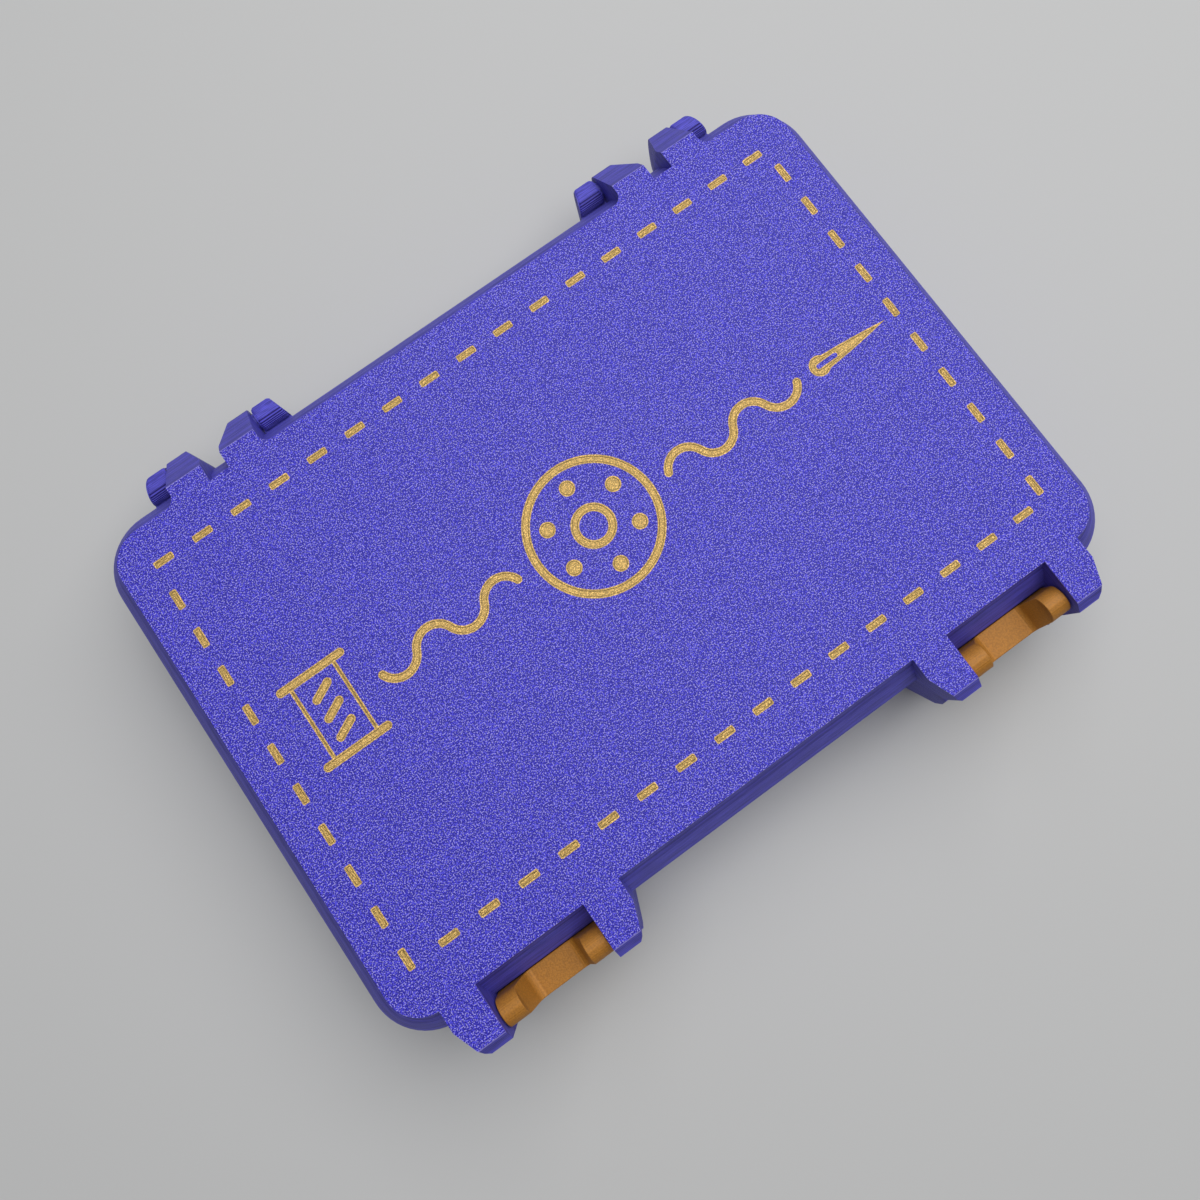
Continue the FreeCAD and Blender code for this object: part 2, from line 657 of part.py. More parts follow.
def spool(x):
    """A spool seen from the side: two rims, two flanks and slanting thread."""
    half, waist, tall = m.spool_width / 2, m.spool_waist / 2, m.spool_height / 2
    rim = tall - m.stroke / 2
    pieces = []
    for y in (-rim, rim):
        reach = half - m.stroke / 2
        pieces.append(inlay(line(x - reach, y, x + reach, y, m.stroke)))
    for place in (-waist, waist):
        inner = place * (1 - m.stroke / m.spool_waist)
        low = -rim + m.stroke / 2
        flank = [
            point(x + place, low), point(x + inner, low),
            point(x + inner, -low), point(x + place, -low), point(x + place, low),
        ]
        pieces.append(inlay(Part.makePolygon(flank)))
    reach = waist - 2 * m.stroke
    for i in range(int(m.windings)):
        y = (i - (m.windings - 1) / 2) * rim * 2 / (m.windings + 1)
        rise = m.winding_rise / 2
        pieces.append(inlay(line(x - reach, y - rise, x + reach, y + rise, m.stroke)))
    return pieces


def needle(x):
    """A needle seen flat: two long arcs that meet at the point, and a slot for the eye."""
    half = m.needle_width / 2
    heel = x + m.needle_length / 5
    tip = x + m.needle_length
    shoulder = (heel + tip) / 2
    bow = half * 3 / 5
    edges = [
        Part.Arc(point(heel, half), point(shoulder, bow), point(tip, 0)).toShape(),
        Part.Arc(point(tip, 0), point(shoulder, -bow), point(heel, -half)).toShape(),
        Part.Arc(point(heel, -half), point(x, 0), point(heel, half)).toShape(),
    ]
    eye_start = x + m.eye_width * 2
    eye = line(eye_start, 0, eye_start + m.eye_length - m.eye_width, 0, m.eye_width)
    return inlay(Part.Wire(edges), eye)


spool_x = -(thread_end + m.spool_gap + m.spool_width / 2)
motif_pieces = [ring(m.bobbin_ring), ring(m.hub_ring), thread(-1), thread(1)]
for i in range(int(m.dots)):
    angle = 2 * math.pi * (i + 0.5) / m.dots
    dot = circle(m.dot_circle * math.cos(angle), m.dot_circle * math.sin(angle), m.dot_radius)
    motif_pieces.append(inlay(dot))
motif_pieces += spool(spool_x)
motif_pieces.append(needle(thread_end + m.spool_gap))
motif = doc.addObject("Part::Feature", "thread_motif")
motif.Shape = Part.makeCompound(motif_pieces)
motif.Placement = FreeCAD.Placement()

# Lid shell: the blank with a seat cut for every piece of the inlays
inlays = doc.addObject("Part::Compound", "inlays")
inlays.Links = [border, motif]
lid_shell = doc.addObject("Part::Cut", "lid_shell")
lid_shell.Base = lid
lid_shell.Tool = inlays

# Latches: knuckles on the pivot, arms beside a notch, a plate with a snap nose, a tab
plate_rear = -d.latch_radius - d.latch_lean + d.latch_plate
tab_top = -d.latch_length + d.tab_height
tab_front = -d.latch_radius - d.latch_lean - d.tab_flare
nose_y = (front - d.catch_reach - d.nose_gap) - latch_y


def make_latch(name, case_side):
    body = new_body(name)
    profile = new_sketch(body, "latch_profile", "YZ_Plane", height=-latch_half)
    draw(profile, [
        (d.latch_radius, 0), (-d.latch_radius, 0),
        (-d.latch_radius - d.latch_lean, tab_top),
        (tab_front, -d.latch_length + d.tab_height / 4),
        (tab_front + d.tab_flare / 2, -d.latch_length),
        (tab_front + d.latch_plate, -d.latch_length),
        (plate_rear, -d.nose_drop - 2 * d.nose_height),
        (nose_y, -d.nose_drop - d.nose_height / 2), (nose_y, -d.nose_drop + d.nose_height / 2),
        (plate_rear, -d.nose_drop + d.nose_height), (plate_rear, -d.latch_neck - d.latch_gap * 4),
        (d.latch_radius, -d.latch_neck),
    ], {0: (0, 0, d.latch_radius, True)})
    pad(body, "latch_blank", profile, 2 * latch_half)
    notch = new_sketch(body, "notch_shape", "XZ_Plane", height=-2 * d.latch_radius)
    top_half, floor_half = d.notch_top_width / 2, d.notch_floor_width / 2
    notch_floor = -d.notch_floor_drop
    bend = notch_floor + d.notch_slant
    above = 2 * d.latch_radius
    slant = lean(top_half - floor_half, d.notch_slant)
    touch = d.notch_fillet * cosine(slant) / (1 + sine(slant))
    flat = floor_half - touch
    side_x, side_y = floor_half + touch * sine(slant), notch_floor + touch * cosine(slant)
    fillet_y = notch_floor + d.notch_fillet
    draw(notch, [
        (-side_x, side_y), (-flat, notch_floor), (flat, notch_floor), (side_x, side_y),
        (top_half, bend), (top_half, above), (-top_half, above), (-top_half, bend),
    ], {0: (-flat, fillet_y, d.notch_fillet, True), 2: (flat, fillet_y, d.notch_fillet, True)})
    pocket(body, "notch", notch, 4 * d.latch_radius, reverse=True)
    stub = new_sketch(body, "stub_profile", "XY_Plane")
    for hand in sides:
        foot = hand * latch_half
        tip = foot + hand * d.stub_length
        thin = d.latch_stub_radius - d.stub_lean
        draw(stub, [(foot, 0), (foot, d.latch_stub_radius), (tip, thin), (tip, 0)])
    turned(body, "Revolution", "stubs", stub)
    bind(body, "Placement.Base.x", case_side * fitting_x)
    bind(body, "Placement.Base.y", latch_y)
    bind(body, "Placement.Base.z", latch_z)
    return body


latches = [make_latch("latch_left", -1), make_latch("latch_right", 1)]

# Bobbin rack: rows of round seats between fins, open along the middle of each row
rack = new_body("bobbin_rack")
rack_inset = cavity_inset + d.rack_clearance
seat_radius = d.bobbin_diameter / 2 + d.bobbin_clearance
seat_width = d.bobbin_width + 2 * d.bobbin_side_clearance
seat_pitch = seat_width + d.fin
row_pitch = 2 * seat_radius + d.ridge
seat_z = d.floor_thickness + d.trough_floor + seat_radius
rack_top = d.floor_thickness + d.rack_height
pad(rack, "rack_block", outline(rack, "rack_outline", rack_inset, d.floor_thickness),
    d.rack_height)
rack_length = d.case_length - 2 * rack_inset
rack_depth = d.case_depth - 2 * rack_inset
bobbins_in_row = whole((rack_length - 2 * d.end_wall + d.fin) / seat_pitch)
rows = whole((rack_depth - 2 * d.side_wall + d.ridge) / row_pitch)
row_length = bobbins_in_row * seat_pitch - d.fin
first_row = -(rows - 1) * row_pitch / 2


def pattern(body, name, original, sketch, axis, pitch, copies, other=None):
    """Copies of a cut along one of its sketch's axes, and rows of them along another."""
    item = body.newObject("PartDesign::LinearPattern", name)
    item.Originals = [original]
    item.Direction = (sketch, [axis])
    item.Mode = "Spacing"
    bind(item, "Offset", pitch)
    bind(item, "Occurrences", copies)
    if other is not None:
        second_axis, second_pitch, second_copies = other
        item.Direction2 = (sketch, [second_axis])
        item.Mode2 = "Spacing"
        bind(item, "Offset2", second_pitch)
        bind(item, "Occurrences2", second_copies)
    body.Tip = item
    return item


seat = new_sketch(rack, "seat_circle", "YZ_Plane", height=seat_width - row_length / 2)
draw_circle(seat, first_row, seat_z, seat_radius)
first_seat = pocket(rack, "first_seat", seat, seat_width)
pattern(rack, "seats", first_seat, seat, "N_Axis", seat_pitch, bobbins_in_row,
        ("H_Axis", row_pitch, rows))
channel = new_sketch(rack, "channel_plan", "XY_Plane", height=rack_top)
draw_rounded(channel, row_length, d.channel_width, d.fin, y=first_row)
first_channel = pocket(rack, "first_channel", channel, d.rack_height - d.channel_floor)
pattern(rack, "channels", first_channel, channel, "V_Axis", row_pitch, rows)
grips = new_sketch(rack, "grip_plan", "XY_Plane", height=rack_top)
for case_side in sides:
    draw_circle(grips, case_side * rack_length / 2, 0, d.grip_radius)
pocket(rack, "grips", grips, d.rack_height - d.grip_floor)

doc.recompute()

for item in doc.Objects:
    if "Invalid" in item.State or "Error" in item.State:
        raise RuntimeError(f"{item.Label} failed: {item.State}")
nodes = [base, lid_shell, border, motif, rack] + latches
for node in nodes:
    if node.Shape.isNull() or not node.Shape.isValid():
        raise RuntimeError(f"{node.Label} has no valid shape")

os.makedirs("parts", exist_ok=True)
for node in nodes:
    node.Shape.exportStep(f"parts/{node.Label}.step")
    box = node.Shape.BoundBox
    print(
        f"{node.Label}: {len(node.Shape.Solids)} solids, {node.Shape.Volume:.1f} mm3, "
        f"X {box.XMin:.2f} to {box.XMax:.2f}, Y {box.YMin:.2f} to {box.YMax:.2f}, "
        f"Z {box.ZMin:.2f} to {box.ZMax:.2f}"
    )
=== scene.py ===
import math
from functools import cached_property

import bmesh
import bpy
from mathutils import Matrix, Vector


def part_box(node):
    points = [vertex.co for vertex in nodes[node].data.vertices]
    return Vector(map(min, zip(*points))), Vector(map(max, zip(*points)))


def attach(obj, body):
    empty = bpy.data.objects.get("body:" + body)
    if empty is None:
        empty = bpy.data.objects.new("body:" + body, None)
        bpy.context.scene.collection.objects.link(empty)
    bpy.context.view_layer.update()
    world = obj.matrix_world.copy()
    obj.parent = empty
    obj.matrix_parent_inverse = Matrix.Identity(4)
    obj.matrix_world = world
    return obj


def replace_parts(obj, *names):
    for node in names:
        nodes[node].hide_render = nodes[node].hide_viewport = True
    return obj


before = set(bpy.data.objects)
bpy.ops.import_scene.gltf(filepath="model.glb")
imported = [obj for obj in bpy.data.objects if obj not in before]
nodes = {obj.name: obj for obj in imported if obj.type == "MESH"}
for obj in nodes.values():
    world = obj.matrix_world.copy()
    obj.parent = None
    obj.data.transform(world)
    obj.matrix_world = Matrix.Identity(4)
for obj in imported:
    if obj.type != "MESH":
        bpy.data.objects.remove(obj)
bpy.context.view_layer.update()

MM = 0.001
LAYER = 0.3 * MM
EDGE = 0.3 * MM
LATCH_EDGE = 0.15 * MM
SEAM_DEPTH = 0.05 * MM
LID_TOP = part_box("lid_shell")[1].z
BASE_UNDERSIDE = 0.0 * MM
RACK_UNDERSIDE = 2.0 * MM


# Materials


class Field:
    """A value inside a material: a node's output, with arithmetic that adds nodes."""

    def __init__(self, finish, socket):
        self.finish = finish
        self.socket = socket

    def maths(self, operation, *operands):
        return self.finish.node("ShaderNodeMath", operands, operation=operation)

    def __add__(self, other):
        return self.maths("ADD", self, other)

    def __sub__(self, other):
        return self.maths("SUBTRACT", self, other)

    def __mul__(self, other):
        return self.maths("MULTIPLY", self, other)

    def __truediv__(self, other):
        return self.maths("DIVIDE", self, other)

    def __radd__(self, other):
        return self.maths("ADD", other, self)

    def __rsub__(self, other):
        return self.maths("SUBTRACT", other, self)

    def __rmul__(self, other):
        return self.maths("MULTIPLY", other, self)

    def __rtruediv__(self, other):
        return self.maths("DIVIDE", other, self)

    def fraction(self):
        return self.maths("FRACT", self)

    def whole(self):
        return self.maths("FLOOR", self)

    def size(self):
        return self.maths("ABSOLUTE", self)

    def ramp(self, low, high):
        """0 below low, 1 above high and a smooth change between."""
        settings = {"interpolation_type": "SMOOTHSTEP", "clamp": True}
        return self.finish.node("ShaderNodeMapRange", (self, low, high), **settings)

    def near(self, value, inner, outer):
        """1 closer to a value than inner, 0 farther than outer and a smooth change between."""
        return 1 - (self - value).size().ramp(inner, outer)

    def lines(self, pitch):
        """Lines side by side: 0 along the middle of each and 1 where two of them meet."""
        return ((self / pitch).fraction() - 0.5).size() * 2


class Finish:
    """A material of its own, around one Principled shader."""

    def __init__(self, name, color, roughness, **constants):
        self.material = bpy.data.materials.new(name)
        self.material.use_nodes = True
        self.tree = self.material.node_tree
        self.shader = self.tree.nodes["Principled BSDF"]
        self.put("Base Color", (*color, 1))
        self.put("Roughness", roughness)
        for socket, value in constants.items():
            self.put(socket.replace("_", " "), value)

    def feed(self, socket, value):
        if isinstance(value, Field):
            self.tree.links.new(value.socket, socket)
        else:
            socket.default_value = value

    def put(self, socket, value):
        self.feed(self.shader.inputs[socket], value)

    def node(self, kind, inputs=(), output=0, **settings):
        node = self.tree.nodes.new(kind)
        for name, value in settings.items():
            setattr(node, name, value)
        pairs = inputs.items() if isinstance(inputs, dict) else enumerate(inputs)
        for key, value in pairs:
            self.feed(node.inputs[key], value)
        return Field(self, node.outputs[output])

    @cached_property
    def place(self):
        """The place in the part, in metres."""
        return self.node("ShaderNodeTexCoord", output="Object")

    def along(self, axis):
        """The place along one axis, in metres."""
        return self.node("ShaderNodeSeparateXYZ", (self.place,), output=axis)

    def level(self):
        """1 on a level face and 0 on every other."""
        normal = self.node("ShaderNodeTexCoord", output="Normal")
        upright = self.node("ShaderNodeSeparateXYZ", (normal,), output="Z")
        return upright.size().ramp(0.94, 0.99)

    def noise(self, size, detail, stretch=(1, 1, 1)):
        """Noise from 0 to 1 with features of that size in metres, stretched along an axis."""
        scale = [1 / (size * part) for part in stretch]
        place = self.node("ShaderNodeVectorMath", (self.place, scale), operation="MULTIPLY")
        return self.node("ShaderNodeTexNoise", {"Vector": place, "Scale": 1.0, "Detail": detail})

    def shade(self, amount, dark, light):
        """A colour between dark and light."""
        ends = [end if isinstance(end, Field) else (*end, 1) for end in (dark, light)]
        inputs = {0: amount, 6: ends[0], 7: ends[1]}
        return self.node("ShaderNodeMix", inputs, output=2, data_type="RGBA")

    def bump(self, height):
        """Height in metres."""
        inputs = {"Height": height, "Distance": 1.0, "Strength": 1.0}
        self.put("Normal", self.node("ShaderNodeBump", inputs))


def scaled(color, factor):
    return tuple(part * factor for part in color)


# Sand: painted shade in its pits and painted glints on its whitish specks, over the real grain
SHADED_PIT_VIOLET = (0.016, 0.010, 0.360)
SAND_VIOLET = (0.066, 0.054, 0.740)
GLINT_SPECK_VIOLET = (0.380, 0.345, 0.960)
SIDE_VIOLET = (0.074, 0.066, 0.440)
# Painted shade in the grooves where printed layers meet
JOINT_SHADE_VIOLET = (0.010, 0.004, 0.140)
# A painted highlight along the lid's rounded top edge
EDGE_HIGHLIGHT_VIOLET = (0.350, 0.310, 1.000)
GOLD = (0.800, 0.515, 0.155)
LATCH_GOLD = (0.405, 0.165, 0.017)
PALE_GREY = (0.550, 0.550, 0.545)

SIDE_ROUGHNESS = 0.55
SAND_SMOOTHING = 0.10
GRAIN = 0.22 * MM
SPECK = 0.24 * MM
SAND_HEIGHT = 0.13 * MM
LAYER_START = 0.17
LAYER_RELIEF = 0.2
STREAK_WIDTH = 0.4 * MM
RASTER_PITCH = 0.6 * MM


def layer_tone(finish):
    """A value from 0 to 1: one for each printed layer, and raster lines on level faces."""
    layer = (finish.along("Z") / LAYER + LAYER_START).whole()
    settings = {"output": "Value", "noise_dimensions": "1D"}
    chance = finish.node("ShaderNodeTexWhiteNoise", {"W": layer}, **settings)
    streaks = finish.noise(STREAK_WIDTH, 1.0, (12, 12, 1)).ramp(0.3, 0.7)
    side = chance * 0.6 + streaks * 0.4
    raster = (finish.along("X") + finish.along("Y")).lines(RASTER_PITCH)
    level = finish.level()
    return side * (1 - level) + (raster * 0.4 + 0.3) * level


def layer_edges(finish):
    """Rounded edges of the printed layers, in metres."""
    edge = finish.along("Z").lines(LAYER)
    return edge * edge * -LAYER


def printed_plastic(name, plates):
    """Printed plastic: sandy where it lay on a build plate, with painted shade in the sand's pits
    and painted glints on its specks over its real grain, and with fine layers elsewhere.
    """
    finish = Finish(name, SIDE_VIOLET, SIDE_ROUGHNESS, Specular_IOR_Level=0.4)
    height = finish.along("Z")
    sandy = sum(height.near(plate, 0.08 * MM, 0.24 * MM) for plate in plates)
    grain = finish.noise(GRAIN, 0.0).ramp(0.38, 0.62)
    specks = finish.noise(SPECK, 0.0).ramp(0.54, 0.66)
    # The sand's colour: painted shade in the pits and painted glints on the specks, over the real
    # grain and bumps
    sand = finish.shade(specks, finish.shade(grain, SHADED_PIT_VIOLET, SAND_VIOLET), GLINT_SPECK_VIOLET)
    tone = layer_tone(finish)
    side = finish.shade(tone, scaled(SIDE_VIOLET, 0.62), scaled(SIDE_VIOLET, 1.40))
    color = finish.shade(sandy, side, sand)
    # Painted highlight: a lighter line along the lid's rounded top edge
    edge_highlight = height.near(LID_TOP - EDGE / 2, 0.08 * MM, 0.13 * MM)
    finish.put("Base Color", finish.shade(edge_highlight, color, EDGE_HIGHLIGHT_VIOLET))
    finish.put("Roughness", SIDE_ROUGHNESS - SAND_SMOOTHING * sandy)
    rough = (grain * 0.6 + specks * 0.4) * sandy * SAND_HEIGHT
    finish.bump(rough + layer_edges(finish) * (1 - sandy) * LAYER_RELIEF)
    return finish.material


LINE_PITCH = 0.32 * MM
LINE_STREAK = 0.3 * MM


def lug_plastic():
    """Plastic with painted shade where two layers meet, in the groove and on the narrow step
    below, by the mesh's joint shade attribute.
    """
    finish = Finish("layered_plastic", SIDE_VIOLET, SIDE_ROUGHNESS, Specular_IOR_Level=0.25)
    joint_shade = finish.node("ShaderNodeAttribute", output="Fac", attribute_name="joint_shade")
    streaks = finish.noise(LINE_STREAK, 2.0, (8, 1, 1)).ramp(0.35, 0.65)
    tone = finish.along("Y").lines(LINE_PITCH) * 0.5 + streaks * 0.5
    bright = finish.shade(tone, scaled(SIDE_VIOLET, 0.65), scaled(SIDE_VIOLET, 1.60))
    # Painted shade where layers meet and on the narrow steps that the layer above shades
    finish.put("Base Color", finish.shade(joint_shade.ramp(0.1, 0.5), bright, JOINT_SHADE_VIOLET))
    return finish.material


GOLD_GRAIN = 0.30 * MM
GOLD_SPECK = 0.16 * MM
SPECK_HEIGHT = 0.06 * MM


def gold_inlay():
    """Speckled gold plastic, with painted shade in the grooved seams between its printed lines.
    """
    finish = Finish("gold_inlay", GOLD, 0.40, Metallic=0.2)
    grain = finish.noise(GOLD_GRAIN, 2.0)
    fine = finish.noise(GOLD_SPECK, 1.0)
    specks = (grain * 0.4 + fine * 0.6).ramp(0.40, 0.60)
    color = finish.shade(specks, scaled(GOLD, 0.50), scaled(GOLD, 1.30))
    # Painted shade on the walls of the seam grooves
    seam_shade = finish.along("Z").near(LID_TOP - SEAM_DEPTH / 2, 0.012 * MM, 0.022 * MM)
    finish.put("Base Color", finish.shade(seam_shade, color, scaled(GOLD, 0.20)))
    finish.bump(specks * SPECK_HEIGHT)
    return finish.material


SILK_HEIGHT = 0.015 * MM
RIDGE_PITCH = 0.16 * MM
RIDGE_HEIGHT = 0.02 * MM


def silky_gold():
    """Silky gold plastic with fine ridges along its printed layers, lightened by a painted
    highlight.
    """
    finish = Finish("latch_plastic", LATCH_GOLD, 0.55, Metallic=0.15)
    grain = finish.noise(GOLD_GRAIN, 2.0).ramp(0.3, 0.7)
    color = finish.shade(grain, scaled(LATCH_GOLD, 0.86), scaled(LATCH_GOLD, 1.14))
    ridge = finish.along("Z").lines(RIDGE_PITCH).ramp(0.44, 0.84)
    # Painted highlight: the ridges are mixed towards a lighter gold
    finish.put("Base Color", finish.shade(ridge * 0.2, color, scaled(LATCH_GOLD, 1.7)))
    finish.bump(grain * SILK_HEIGHT + ridge * RIDGE_HEIGHT)
    return finish.material


case_plastic = printed_plastic("case_plastic", (LID_TOP, BASE_UNDERSIDE))
layered_plastic = lug_plastic()
rack_plastic = printed_plastic("rack_plastic", (RACK_UNDERSIDE,))
inlay_gold = gold_inlay()
latch_gold = silky_gold()


# Shells and latches: copies of their nodes with softened outer edges

SAME_CORNER = 0.002 * MM
BEVELED_CORNER = 0.001 * MM
FLAT = math.radians(0.4)
SHARP = math.radians(28)
CREASE = SHARP + 0.1


def piece(name, mesh, body, material):
    """A new object from a mesh, which is freed."""
    data = bpy.data.meshes.new(name)
    mesh.to_mesh(data)
    mesh.free()
    data.materials.append(material)
    thing = bpy.data.objects.new(name, data)
    bpy.context.scene.collection.objects.link(thing)
    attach(thing, body)
    return thing


def merged(name):
    """A node's mesh, with its doubled corners joined and its flat faces made whole."""
    mesh = bmesh.new()
    mesh.from_mesh(nodes[name].data)
    bmesh.ops.remove_doubles(mesh, verts=mesh.verts, dist=SAME_CORNER)
    bmesh.ops.dissolve_limit(mesh, angle_limit=FLAT, verts=mesh.verts, edges=mesh.edges)
    return mesh


def softened(name, mesh, body, material, width=EDGE, keep_sharp=None):
    """A piece from a node's mesh with rounded outer edges, which stands in the node's place."""
    edges = []
    for edge in mesh.edges:
        if len(edge.link_faces) != 2 or edge.calc_face_angle_signed(0) < SHARP:
            continue
        if keep_sharp and keep_sharp(edge):
            continue
        edges.append(edge)
    bmesh.ops.bevel(
        mesh, geom=edges, offset=width, offset_type="OFFSET", segments=3, profile=0.5,
        affect="EDGES", material=-1, clamp_overlap=True,
    )
    bmesh.ops.remove_doubles(mesh, verts=mesh.verts, dist=BEVELED_CORNER)
    for face in mesh.faces:
        face.smooth = True
    for edge in mesh.edges:
        edge.smooth = len(edge.link_faces) == 2 and edge.calc_face_angle(0) < CREASE
    soft = piece(f"{name}_soft", mesh, body, material)
    weighted = soft.modifiers.new("weighted", "WEIGHTED_NORMAL")
    weighted.keep_sharp = True
    weighted.weight = 100
    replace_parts(soft, name)


# The part of the lid's top face that holds the inlays' seats
SEAT_DEPTH = 0.7 * MM
SEATS_X = 72 * MM
SEATS_Y = 46 * MM


def in_inlay_seat(edge):
    """Whether an edge lies in the lid's top face, inside its outline, or in a seat."""
    return all(
        vert.co.z > LID_TOP - SEAT_DEPTH and abs(vert.co.x) < SEATS_X and abs(vert.co.y) < SEATS_Y
        for vert in edge.verts
    )


HINGE_X = 49.7 * MM
HINGE_Y = 57.6 * MM
HINGE_Z = 19.8 * MM
LUG_RADIUS = 2.7 * MM
ON_THE_ROUND = 0.02 * MM
NOSE = 0.12 * MM
LUG_SINK = NOSE + 0.03 * MM


def sink_lugs(mesh):
    """Draw the round ends of the hinge lugs in, to make room for their layers."""
    for vert in mesh.verts:
        arm = Vector((0, vert.co.y - HINGE_Y, vert.co.z - HINGE_Z))
        if abs(arm.length - LUG_RADIUS) < ON_THE_ROUND:
            vert.co -= arm.normalized() * LUG_SINK


base = merged("base_shell")
sink_lugs(base)
softened("base_shell", base, "base", case_plastic)
lid = merged("lid_shell")
softened("lid_shell", lid, "lid", case_plastic, keep_sharp=in_inlay_seat)
for latch in ("latch_left", "latch_right"):
    softened(latch, merged(latch), latch, latch_gold, width=LATCH_EDGE)


# Printed layers that show as steps on the round ends of the base's hinge lugs

LUG_CREST = LUG_RADIUS - 0.05 * MM
LUG_FOOT = -0.7 * LUG_RADIUS
LUG_INNER = 9.7 * MM
LUG_OUTER = 16.0 * MM
LUG_SLANT = 2.3 / 7.4
LUG_BEND = 52.9 * MM
LUG_END = LUG_OUTER - (HINGE_Y - LUG_BEND) * LUG_SLANT
CAP_INSET = 0.05 * MM
UNDERCUT = 0.05 * MM
FIRST_LAYER = 0.12 * MM
# How wide a step may be and still get painted shadow, and the share of painted shade on the rear
# side
SHADED = 0.25 * MM
REAR_SHADE = 0.3
CORE_RADIUS = 2.3 * MM
CORE_CORNERS = 16

# How far from a lug's end its layers start to round off, and by how much they shrink
LUG_ROUNDING = (
    (0.0 * MM, 0.40 * MM), (0.12 * MM, 0.18 * MM), (0.28 * MM, 0.05 * MM), (0.50 * MM, 0.0 * MM),
)

# Two corners of the web beside a rib: outwards from the hinge's middle, back and up
WEB_LOW = Vector((LUG_INNER - 0.28 * MM, 53.62 * MM, 17.2 * MM))
WEB_HIGH = Vector((LUG_INNER + 0.10 * MM, 55.75 * MM, 19.6 * MM))


def lug_steps():
    """The layers' outline across a lug, as corners around the pivot: y, z and a painted shade
    that is 1 where two layers meet and fades along the step to the next layer, as the layer above
    shades it."""
    fore, rear = [], []
    top = LUG_CREST
    bottom = top - FIRST_LAYER
    last_reach = 0.0
    while top > LUG_FOOT:
        widest = min(abs(top), abs(bottom)) if top * bottom > 0 else 0.0
        reach = math.sqrt(LUG_RADIUS ** 2 - widest ** 2)
        # Painted shadow: the narrower the step, the darker it is painted
        shade = max(0.0, 1 - (reach - last_reach) / SHADED)
        bead = [
            (reach - NOSE, top, shade), (reach, top - NOSE / 2, 0.0),
            (reach, bottom + LAYER / 4, 1.0), (reach - UNDERCUT, bottom, 1.0),
        ]
        rear += [(y, z, shade * REAR_SHADE) for y, z, shade in bead]
        if bottom > -LAYER:
            fore += [(-y, z, shade) for y, z, shade in bead]
        last_reach = reach
        top, bottom = bottom, bottom - LAYER
    return fore[::-1] + rear


def lug_section():
    """A lug's layered sleeve across: its layers, then its round core back to the first."""
    layers = lug_steps()
    fore = math.atan2(layers[0][1], layers[0][0]) % math.tau
    rear = math.atan2(layers[-1][1], layers[-1][0])
    core = []
    for i in range(CORE_CORNERS + 1):
        angle = rear + (fore - rear) * i / CORE_CORNERS
        core.append((CORE_RADIUS * math.cos(angle), CORE_RADIUS * math.sin(angle), 1.0))
    return layers + core


def lug_place(case_side, hand, reach, slant, shrink):
    """Where the section stands along a lug: how far out, how slanted and how much smaller."""
    size = 1 - shrink / LUG_RADIUS
    place = Matrix.Diagonal((1, size, size, 1))
    place[0][1] = -hand * slant * size
    place.translation = (case_side * HINGE_X + hand * reach, HINGE_Y, HINGE_Z)
    return place


def layered_lug(mesh, joint_shade, case_side, hand):
    """One lug's sleeve, extruded from its inner end to its slanted outer end."""
    section = []
    for y, z, shade in lug_section():
        vert = mesh.verts.new((0, y, z))
        vert[joint_shade] = shade
        section.append(vert)
    cap = mesh.faces.new(section)
    stops = [(LUG_INNER + CAP_INSET + inset, 0.0, shrink) for inset, shrink in LUG_ROUNDING]
    stops += [
        (LUG_END - CAP_INSET - inset, LUG_SLANT, shrink) for inset, shrink in LUG_ROUNDING[::-1]
    ]
    last = Matrix.Identity(4)
    for i, stop in enumerate(stops):
        if i > 0:
            made = bmesh.ops.extrude_face_region(mesh, geom=[cap])["geom"]
            if i > 1:
                bmesh.ops.delete(mesh, geom=[cap], context="FACES_ONLY")
            cap = next(part for part in made if isinstance(part, bmesh.types.BMFace))
        place = lug_place(case_side, hand, *stop)
        bmesh.ops.transform(mesh, matrix=place @ last.inverted(), verts=cap.verts)
        last = place


def slit_web(mesh, case_side, hand):
    """The web that closes the slit beside a rib, between the flange and the lug's foot."""
    cube = bmesh.ops.create_cube(mesh, size=1.0)["verts"]
    bmesh.ops.scale(mesh, verts=cube, vec=WEB_HIGH - WEB_LOW)
    middle = (WEB_LOW + WEB_HIGH) / 2
    middle.x = case_side * HINGE_X + hand * middle.x
    bmesh.ops.translate(mesh, verts=cube, vec=middle)


lugs = bmesh.new()
joint_shade = lugs.verts.layers.float.new("joint_shade")
for case_side in (-1, 1):
    for hand in (-1, 1):
        layered_lug(lugs, joint_shade, case_side, hand)
        slit_web(lugs, case_side, hand)
bmesh.ops.recalc_face_normals(lugs, faces=lugs.faces)
piece("lug_layers", lugs, "base", layered_plastic)


# Inlays whose tops show the seams between the printed lines

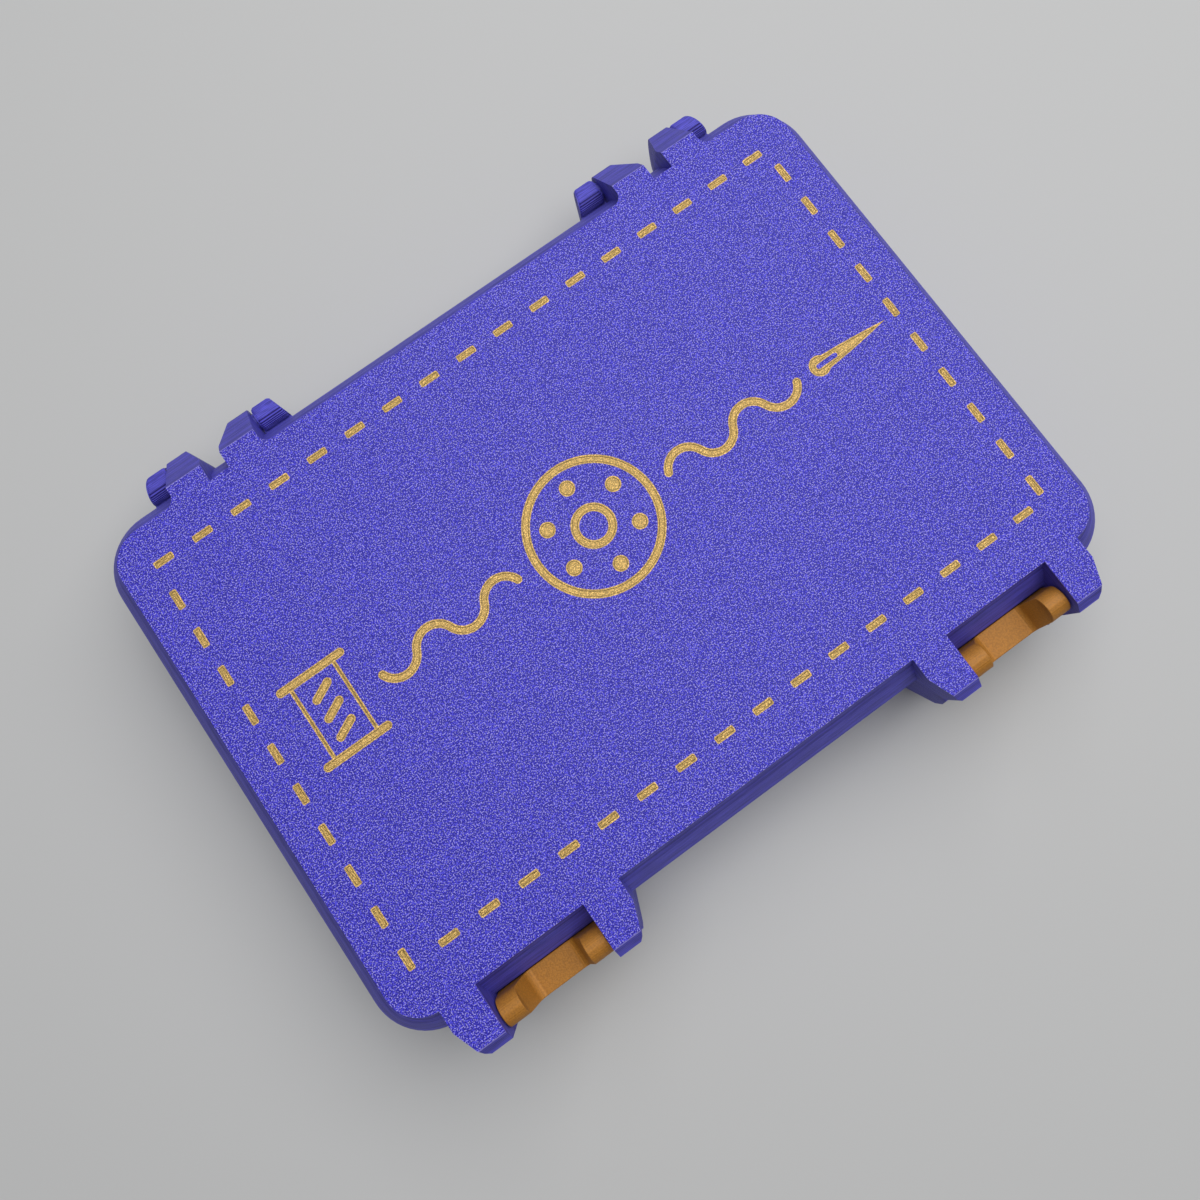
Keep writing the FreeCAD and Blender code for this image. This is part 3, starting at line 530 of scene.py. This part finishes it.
OUTER_LINE = 0.26 * MM
SEAM_WIDTH = 0.14 * MM


def lined(name):
    """A copy of an inlay node whose strokes have a raised outer line."""
    mesh = merged(name)
    tops = [face for face in mesh.faces if face.normal.z > 0.9]
    for thickness, depth in ((OUTER_LINE, 0), (SEAM_WIDTH, -SEAM_DEPTH)):
        bmesh.ops.inset_region(
            mesh, faces=tops, thickness=thickness, depth=depth, use_even_offset=True,
            use_boundary=True,
        )
    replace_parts(piece(f"{name}_lined", mesh, "lid", inlay_gold), name)


lined("stitch_border")
lined("thread_motif")

rack = nodes["bobbin_rack"]
rack.data.materials.clear()
rack.data.materials.append(rack_plastic)


# Floor, light and camera

bpy.ops.mesh.primitive_plane_add(size=3.0)
floor = bpy.context.object
floor.name = "floor"
floor.data.materials.append(Finish("floor", PALE_GREY, 0.7).material)

world = bpy.data.worlds.new("studio")
world.use_nodes = True
background = world.node_tree.nodes["Background"]
background.inputs["Color"].default_value = (0.92, 0.95, 1.0, 1)
background.inputs["Strength"].default_value = 0.16
bpy.context.scene.world = world
bpy.context.scene.view_settings.view_transform = "Standard"

key_data = bpy.data.lights.new("key", "AREA")
key_data.shape = "SQUARE"
key_data.size = 1.0
key_data.energy = 8.4
key = bpy.data.objects.new("key", key_data)
key.location = (0.24, 0.14, 0.80)
key.rotation_euler = (-key.location).to_track_quat("-Z", "Y").to_euler()
bpy.context.scene.collection.objects.link(key)

camera_data = bpy.data.cameras.new("camera")
camera_data.sensor_width = 36.0
camera_data.lens = 31.5
camera_data.shift_y = -0.0833
camera_data.clip_start = 0.01
camera = bpy.data.objects.new("camera", camera_data)
bpy.context.scene.collection.objects.link(camera)
camera_place = Vector((-0.011565, -0.023307, 0.215233))
right = Vector((0.814493, -0.579742, -0.022372))
up = Vector((0.574551, 0.800646, 0.169873))
backward = Vector((-0.080571, -0.151214, 0.985212))
turn = Matrix((right, up, backward)).transposed().to_4x4()
camera.matrix_world = Matrix.Translation(camera_place) @ turn
bpy.context.scene.camera = camera
